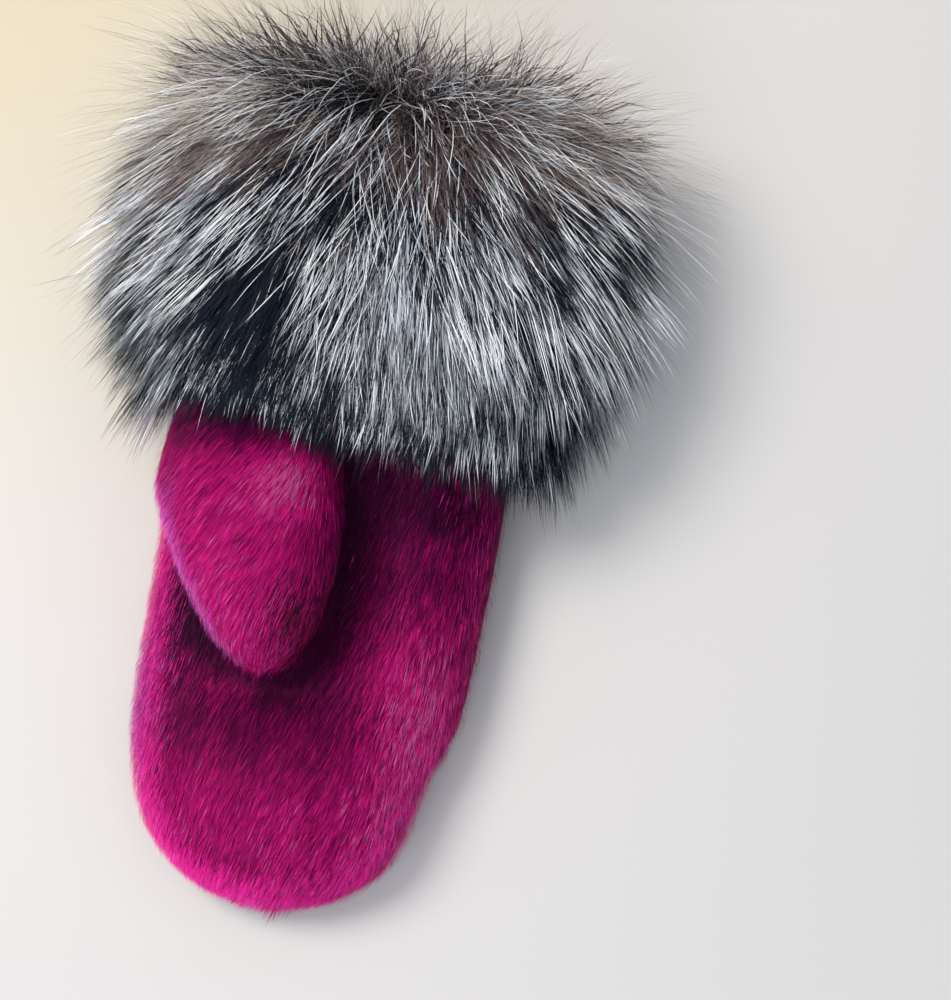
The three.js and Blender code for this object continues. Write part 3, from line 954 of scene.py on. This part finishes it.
# Soft spots of pale, nearly black, brown and cream fur, and its share there
PALE_FUR = [
    (34, 81, 38, 28, 1.1),
    (-82, 94, 20, 34, 0.66),
    (-72, 74, 16, 15, 0.5),
    (-58, 114, 14, 12, 0.3),
    (2, 114, 10, 15, 0.6),
    (54, 122, 17, 14, 0.34),
    (100, 104, 20, 26, 0.32),
]
BLACK_FUR = [
    (-37, 98, 18, 24, 1.7),
    (-19, 175, 16, 8, 1.4),
    (-24, 144, 30, 13, 0.9),
    (54, 146, 16, 12, 0.5),
    (81, 148, 16, 14, 1.0),
    (66, 116, 20, 16, 0.45),
    (14, 170, 12, 8, 0.4),
]
BROWN_FUR = [
    (-62, 151, 28, 13, 1.0),
    (8, 154, 26, 13, 0.75),
    (38, 172, 30, 13, 0.9),
    (64, 174, 18, 14, 0.5),
    (-2, 182, 20, 8, 0.55),
]
CREAM_FUR = [
    (-74, 172, 36, 17, 1.2),
    (-98, 136, 14, 24, 0.5),
    (78, 186, 26, 18, 0.8),
    (102, 150, 16, 24, 0.5),
]


def patches(points, rows):
    """The share of a list's patches at places on the upper side."""
    return spots(points, rows) * smooth(0.02, 0.045, points[..., 2])


def fur_kinds(seen, at, choice):
    """Which kind of guard hair lies where on the cuff."""
    upper = smooth(0.3, 0.75, at)
    rim = smooth(0.88, 0.98, at)
    lowest = smooth(0.12, 0.0, at)
    beside = 0.4 * smooth(0.045, 0.02, seen[..., 2])
    pale = limit(patches(seen, PALE_FUR) + beside)
    other = 1 - limit(patches(seen, BLACK_FUR))
    cream = 0.75 * limit(patches(seen, CREAM_FUR)) * other
    white = (0.09 + 0.08 * pale) * (0.15 + 0.85 * other) * (1 - cream)
    silver = (0.16 + 0.48 * pale) * other * (1 - 0.45 * lowest) * (1 - cream)
    brown = (0.03 + (0.22 * upper + 0.35 * rim) * (1 - cream) + patches(seen, BROWN_FUR)) * other
    shares = ((CREAM, cream), (WHITE, white), (SILVER, silver), (BROWN, brown))
    return choose(choice, shares, BLACK)


def wisp_kinds(seen, at, choice):
    """Pale hair, for the loose wisps that lie over the rest, but few on the darkest fur."""
    dark = np.clip(0.7 * patches(seen, BLACK_FUR), 0, 0.95)
    brown = np.clip(0.75 * patches(seen, BROWN_FUR), 0, 0.95 - dark)
    return choose(choice, ((BLACK, dark), (BROWN, brown), (WHITE, 0.85)), SILVER)


def stray_kinds(seen, at, choice):
    """Thin hair that stands off: brown and black, and pale towards the opening."""
    return choose(choice, ((WHITE, 0.4 * smooth(0.55, 0.9, at)), (BROWN, 0.45)), BLACK)


def rim_kinds(seen, at, choice):
    """Fine hair that stands up round the opening: brown, with pale tufts."""
    cream = 0.25 + 0.55 * limit(patches(seen, CREAM_FUR))
    return choose(choice, ((CREAM, cream), (BROWN, 0.45), (BLACK, 0.05)), WHITE)


def mist_kinds(seen, at, choice):
    """The finest hair: brown, and a pale haze round the opening."""
    rim = smooth(0.88, 1.0, at)
    black = 0.25 + 0.6 * patches(seen, BLACK_FUR)
    cream = (0.06 + 0.35 * rim + 0.5 * patches(seen, CREAM_FUR)) * (1 - 0.5 * black)
    return choose(choice, ((BLACK, black), (CREAM, cream), (WHITE, 0.08 + 0.1 * rim)), BROWN)


def soft_underfur(name, count, seed, at_range, long, wide, kinds, points=5):
    """The soft short hair beneath the guard hair."""
    draw = np.random.default_rng(seed)
    at, angle = spread_roots(cuff_point, count, draw, at_range, AROUND, thinner_under)
    long = draw.uniform(*long, count) * MM
    tufts = waves(cuff_point(at, angle), 14 * MM, seed)
    bend_by = 12 + 10 * tufts + draw.normal(0, 8, count)
    paths, out = fur_paths(at, angle, bend_by, draw.normal(0, 0.25, count), long, points)
    shares = np.linspace(0, 1, points)
    wave = draw.normal(0, 1.6, (count, 1, 3)) * MM * np.sin(shares * 7)[None, :, None]
    paths = rest_on_hand(keep_inside(paths + wave * shares[None, :, None]), out, 1.5 * MM)
    profile = np.interp(shares, [0, 0.2, 0.6, 1], [0.8, 1, 0.8, 0.0])
    widths = draw.uniform(*wide, count)[:, None] * MM * profile[None, :]
    twist = draw.normal(0, 0.6, count)
    kind = kinds(paths[:, points // 2], at, draw.random(count))
    cuff_hairs(name, paths, out, widths, twist, draw.uniform(*KEYS, count), kind)


def soft_kinds(seen, at, choice):
    """Brown-grey underfur in the upper part, darker below and beneath the dark patches."""
    black = 0.22 + 0.45 * smooth(0.6, 0.2, at) + patches(seen, BLACK_FUR)
    black = limit(black - 0.5 * patches(seen, BROWN_FUR))
    return choose(choice, ((BLACK, black), (CREAM, 0.6 * patches(seen, CREAM_FUR))), BROWN)


def underfur_mass(material):
    """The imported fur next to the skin, as a lumpy ring that follows band and wrist."""
    at = np.linspace(UNDERFUR["at"][0], UNDERFUR["at"][-1], 40)
    grow = (UNDERFUR_DEPTH * read(UNDERFUR, at)["depth"])[:, None]
    angle = rounds(160)[None, :]
    rings = cuff_point(at[:, None] * np.ones_like(angle), angle, grow)
    wrist = hand_point(limit(-at[:, None] * CUFF_LENGTH / HAND_LENGTH), angle, grow)
    wrist[..., 1] = rings[..., 1]
    rings = np.where((at < 0)[:, None, None], wrist, rings)
    over = limit(np.sin(angle))
    rings[..., 2] -= grow * (1 - FUR_SETTLING) * over
    lumps = waves(rings.reshape(-1, 3), 16 * MM, 3).reshape(rings.shape[:2])
    middle = rings.mean(1, keepdims=True)
    rings = rings + unit(rings - middle) * (1.2 * MM * lumps)[..., None]
    rings[..., 2] = np.maximum(rings[..., 2], FLOOR_CLEAR)
    outer = loft("underfur_mass", rings)
    band = cuff_form("band_tool", SEAM_GAP, -0.002, 1.3)
    hand = hand_form("hand_tool", SEAM_GAP, SEAM_GAP)
    thumb = thumb_form("thumb_tool", SEAM_GAP)
    for tool in (band, hand, thumb):
        cut(outer, tool)
    drop(band, hand, thumb)
    outer.data.materials.clear()
    outer.data.materials.append(material)
    return outer


# Skins


def finish_skin(piece, inner, outer_material, inner_material):
    """Gives the outside and the inside of a skin their materials."""
    mesh = piece.data
    mesh.materials.clear()
    mesh.materials.append(outer_material)
    mesh.materials.append(inner_material)
    centres = np.zeros(len(mesh.polygons) * 3)
    mesh.polygons.foreach_get("center", centres)
    inside = inner(centres.reshape(-1, 3))
    mesh.polygons.foreach_set("material_index", inside.astype(np.int32))
    mesh.polygons.foreach_set("use_smooth", np.ones(len(mesh.polygons), bool))
    mesh.update()


def inside_hand(points, grow):
    x, y, z = np.moveaxis(points, -1, 0)
    at, sizes, across = hand_place(x, y, grow)
    rise = z - sizes["seam"]
    dent = dents(at, across)
    tall = np.where(
        rise < 0, sizes["seam"] - sizes["low"] + FLATTENING, sizes["high"] - sizes["seam"] - dent
    )
    value = np.abs(across) ** ROUNDNESS + np.abs(rise / tall) ** ROUNDNESS
    return (value < 1) & (z > sizes["low"]) & (at < 1)


def inside_thumb(points, grow):
    x, y, z = np.moveaxis(points, -1, 0)
    at, sizes, across = thumb_place(x, y, grow)
    rise = (z - sizes["height"]) / sizes["tall"]
    return (np.abs(across) ** ROUNDNESS + np.abs(rise) ** ROUNDNESS < 1) & (at > 0) & (at < 1)


def skins(pelt_material, suede_material):
    """The sewn skins of the hand and thumb, hollow and open into each other."""
    middle = -(HAIR_ROOM + SKIN_WALL) / 2  # of the wall
    hollow = hand_form("hollow", -SKIN_WALL, SKIN_WALL)
    thumb_hollow = thumb_form("thumb_hollow", -SKIN_WALL)
    under = below_seam(SEAM_GAP / 2)
    palm = cut(cut(hand_form("palm_skin", -HAIR_ROOM), hollow), under)
    cut(palm, thumb_hollow)
    lower = below_seam(-SEAM_GAP / 2)
    back = cut(cut(hand_form("back_skin", -HAIR_ROOM), hollow), lower, "INTERSECT")
    hand = hand_form("hand_tool", SEAM_GAP - HAIR_ROOM, CUFF_LENGTH)
    thumb = cut(cut(thumb_form("thumb_skin", -HAIR_ROOM), thumb_hollow), hand)
    drop(hollow, thumb_hollow, under, lower, hand)
    for piece, inner in ((palm, inside_hand), (back, inside_hand), (thumb, inside_thumb)):
        finish_skin(piece, lambda points: inner(points, middle), pelt_material, suede_material)
    return palm, back, thumb


def cuff_skin(material):
    """The cuff's skin band, flared towards its opening."""
    outer = cuff_form("cuff_skin", 0.0, SEAM_GAP / CUFF_LENGTH, 1.0)
    inner = cuff_form("band_hollow", -BAND_WALL, -0.3, 1.2)
    cut(outer, inner)
    drop(inner)
    finish_skin(outer, lambda p: np.ones(len(p)), material, material)
    return outer


def place_piece(piece, slot, *nodes):
    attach(piece, "root")
    for node in nodes:
        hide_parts(node)


# Camera, light and floor
TILT = math.radians(10)  # the mitten's turn in the picture
VIEW_RISE = math.radians(80)
VIEW_DISTANCE = 0.78
PICTURE_HEIGHT = 0.37  # of the surface that the picture takes in, at the mitten
MIDDLE_ASIDE = 0.052  # from the mitten's middle line to the picture's
AIM = Vector((0, 0.0397, 0.03))
SENSOR_WIDTH = 36
FAR = 3  # how far the floor reaches
# Disk lamps: metres to the right, ahead and up from the aim, size, watts and colour
LAMPS = {
    "key": (-1.5, 0.9, 2.2, 1.5, 68.0, (1.0, 0.95, 0.88)),
    "wash": (-0.48, 0.42, 0.5, 0.4, 0.3, (1.0, 0.66, 0.26)),
    "fill": (-0.5, -0.9, 0.7, 0.9, 5.5, (0.95, 0.96, 1.0)),
}
SKY_COLOUR = (0.86, 0.9, 1.0, 1)
SKY_STRENGTH = 0.62


def stage_set():
    """Sets the camera, the floor, the lamps and the sky."""
    right = Vector((math.cos(TILT), math.sin(TILT), 0))
    forward = Vector((-math.sin(TILT), math.cos(TILT), 0))
    aim = AIM + right * MIDDLE_ASIDE
    back = Vector((0, 0, 1)) * math.sin(VIEW_RISE) - forward * math.cos(VIEW_RISE)
    up = back.cross(right)
    data = bpy.data.cameras.new("camera")
    data.sensor_width = SENSOR_WIDTH
    data.lens = SENSOR_WIDTH * VIEW_DISTANCE / PICTURE_HEIGHT
    camera = link("camera", data)
    turn = Matrix((right, up, back)).transposed()
    camera.matrix_world = Matrix.Translation(aim + back * VIEW_DISTANCE) @ turn.to_4x4()
    bpy.context.scene.camera = camera

    corners = [(-FAR, -FAR, 0), (FAR, -FAR, 0), (FAR, FAR, 0), (-FAR, FAR, 0)]
    floor = mesh_piece("floor", corners, [(0, 1, 2, 3)])
    floor.data.materials.append(paper())

    for name, (aside, ahead, height, size, power, colour) in LAMPS.items():
        light = bpy.data.lights.new(name, "AREA")
        light.shape = "DISK"
        light.size = size
        light.energy = power
        light.color = colour
        lit = link(name, light)
        lit.location = aim + right * aside + forward * ahead + Vector((0, 0, height))
        lit.rotation_euler = (aim - lit.location).to_track_quat("-Z", "Y").to_euler()

    world = bpy.data.worlds.new("studio")
    world.use_nodes = True
    sky = world.node_tree.nodes["Background"].inputs
    sky["Color"].default_value = SKY_COLOUR
    sky["Strength"].default_value = SKY_STRENGTH
    bpy.context.scene.world = world
    bpy.context.scene.view_settings.view_transform = "Standard"


stage_set()

# Skins of the hand, the thumb and the cuff
dyed_pelt = pelt("dyed_pelt", (0.03, 0.001, 0.016), (0.11, 0.003, 0.045))
brown_pelt = pelt("brown_pelt", (0.016, 0.013, 0.012), (0.045, 0.036, 0.033))
inside = suede()
for piece, node in zip(skins(dyed_pelt, inside), ("palm_panel", "back_panel", "thumb")):
    place_piece(piece, "dyed_fur", node)
place_piece(cuff_skin(inside), "pelt_skin", "cuff_band")
place_piece(underfur_mass(brown_pelt), "silver_fur", "cuff_fur")

# Short fur
dyed = dyed_hair()
FUR_SHARE = 1.0


def off_thumb(corners):
    """Where the hand's hair has its roots: outside the thumb, and a little way under its tip."""
    tip = (corners[..., 1] < -12 * MM) & ~inside_thumb(corners, -7 * MM)
    return (tip | ~inside_thumb(corners, -1 * MM)).astype(float)


def off_hand(corners):
    """Where the thumb's hair has its roots: outside the hand, and fewer underneath."""
    seen = 0.35 + 0.65 * smooth(0.03, 0.045, corners[..., 2])
    return ~inside_hand(corners, -1 * MM) * seen


def thumb_shade_share(points):
    """From 0 to 1 towards the thumb's outline, seen from above: painted shade on the palm beside the
    thumb.
    """
    near = np.zeros(len(points))
    sizes = thumb_place(points[:, 0], points[:, 1])[1]
    flat = vectors(points[:, 0], points[:, 1], sizes["height"])
    valley = points[:, 0] > sizes["middle"]
    for wide, narrow in ((11, 4.5), (8, 3), (5, 1.5)):
        near += np.where(valley, inside_thumb(flat, wide * MM), inside_thumb(flat, narrow * MM)) / 3
    return near


def palm_lean(points):
    across = points[:, 0] / (HAND_WIDTH / 2)
    return np.interp(across, [-1, -0.4, 0.3, 0.75, 1], [-0.1, -0.24, -0.28, -0.08, 0.14])


def thumb_lean(points):
    across = (points[:, 0] + 25 * MM) / (THUMB_WIDTH / 2)
    lean = np.interp(across, [-1, 0, 0.6, 1], [-0.52, -0.5, -0.25, 0.12])
    return lean * smooth(-0.03, 0.01, points[:, 1])


def fringe_and_glow(points, out):
    """From 0 to 1 towards the hand's outline, where hair stands off and takes a painted glow of light
    through it: most on the thumb's side and round the fingertips."""
    seam = hand_place(points[:, 0], points[:, 1])[1]["seam"]
    edge = smooth(2.2, 1.65, points[:, 2] / seam)
    left = smooth(0.01, -0.02, points[:, 0])
    low = smooth(-0.02, -0.06, points[:, 1])
    return 0.92 * edge * limit(0.12 + left + 0.5 * low)


# Soft spots of other looks of the dyed hair: painted glints, worn hair, and painted violet sheen on
# the palm's left edge
SIDE_GLINT = (46, -34, 15, 52)
THUMB_GLINT = (-14, 44, 12, 12)
WORN_EDGE = (-2, -4, 8, 14)
WORN_SPECK = (-23.7, 18.6, 2.2, 2.6)
VIOLET_SHEEN_SIDE = (-61, -44, 10, 26)


def palm_painted_glints(points):
    """Where painted glints of pale hair lie among dark hair: the right side and the fingertips."""
    low = smooth(-0.045, -0.085, points[:, 1])
    return limit(spot(points, *SIDE_GLINT) + 0.4 * low)


def worn_share(points, out):
    """How much of the thumb's hair is worn dark: an edge and a speck near its tip."""
    return limit(0.85 * spot(points, *WORN_EDGE) + 0.6 * spot(points, *WORN_SPECK))


# The thumb's lower edge that faces the light, where its hair takes a painted violet sheen and stands
# off.
def thumb_lit_edge(points, out):
    low = smooth(-0.25, -0.62, out[:, 0])
    return 0.72 * low * smooth(0.046, 0.02, points[:, 1])


def thumb_stands(points, out):
    """How much of the thumb's hair stands off: along its lower edge and round its tip."""
    tip = smooth(-0.008, -0.024, points[:, 1])
    return np.clip(0.6 * thumb_lit_edge(points, out) + 0.5 * tip, 0, 0.6)


# The palm's tone holds painted shade and highlights, with more painted shade beside the thumb.
PALM_LOOK = {
    "lean": palm_lean,
    "tone": lambda points: spots(points, PALM_SHADE_AND_SHEEN) - 0.34 * thumb_shade_share(points),
    "stands": fringe_and_glow,
    "painted_glints": palm_painted_glints,
    "kinds": {FRINGE_GLOW: fringe_and_glow, VIOLET_SHEEN: lambda points, out: 0.75 * spot(points, *VIOLET_SHEEN_SIDE)},
}
# The thumb's tone holds painted shade and highlights, the painted shadow of the cuff among them.
THUMB_LOOK = {
    "lean": thumb_lean,
    "tone": lambda points: spots(points, THUMB_SHADE_AND_SHEEN) + 0.02,
    "stands": thumb_stands,
    "painted_glints": lambda points: 0.5 * smooth(0.02, -0.02, points[:, 1]) + 0.7 * spot(points, *THUMB_GLINT),
    "kinds": {VIOLET_SHEEN: thumb_lit_edge, WORN: worn_share},
}
for piece_name, form, count, seed, reach, look, keep in (
    ("palm_hair", hand_point, 92000, 11, ((0.12, 0.998), (-0.2, math.pi + 0.2)), PALM_LOOK, off_thumb),
    ("back_hair", hand_point, 26000, 12, ((0.12, 0.998), (3.24, 6.18)), PALM_LOOK, off_thumb),
    ("thumb_hair", thumb_point, 44000, 13, ((0.24, 0.998), (0, 6.283)), THUMB_LOOK, off_hand),
):
    short_fur(piece_name, form, int(count * FUR_SHARE), seed, reach, look, keep)

# Cuff fur
banded = cuff_hair()
for piece_name, count, seed, at_range, long, wide, kinds in (
    ("cuff_underfur", 12000, 21, (-0.1, 1.02), (26, 42), (0.5, 0.9), soft_kinds),
    ("cuff_mist", 7500, 22, (0.6, 1.03), (30, 46), (0.12, 0.2), mist_kinds),
):
    soft_underfur(piece_name, int(count * FUR_SHARE), seed, at_range, long, wide, kinds)
for index, at_range in enumerate(((-0.1, 0.2), (0.2, 0.48), (0.48, 0.78), (0.78, 1.03))):
    piece_name = f"guard_hair_{index + 1}"
    guard_fur(piece_name, int(11300 * FUR_SHARE), 31 + index, at_range, fur_kinds, (0.28, 0.46))
style = {"points": 7, "tuft": 9, "loose": 1.3, "longer": 1.12, "lift": 4}
guard_fur("pale_wisps", 3600, 41, (0.35, 1.0), wisp_kinds, (0.26, 0.38), **style)
style = {"tuft": 3, "loose": 3.4, "longer": 1.1}
guard_fur("stray_hair", 1500, 42, (0.1, 1.03), stray_kinds, (0.12, 0.2), **style)
style = {"tuft": 8, "loose": 2.2, "longer": 1.9, "lift": 6}
guard_fur("rim_hair", 1900, 43, (0.9, 1.03), rim_kinds, (0.11, 0.18), **style)
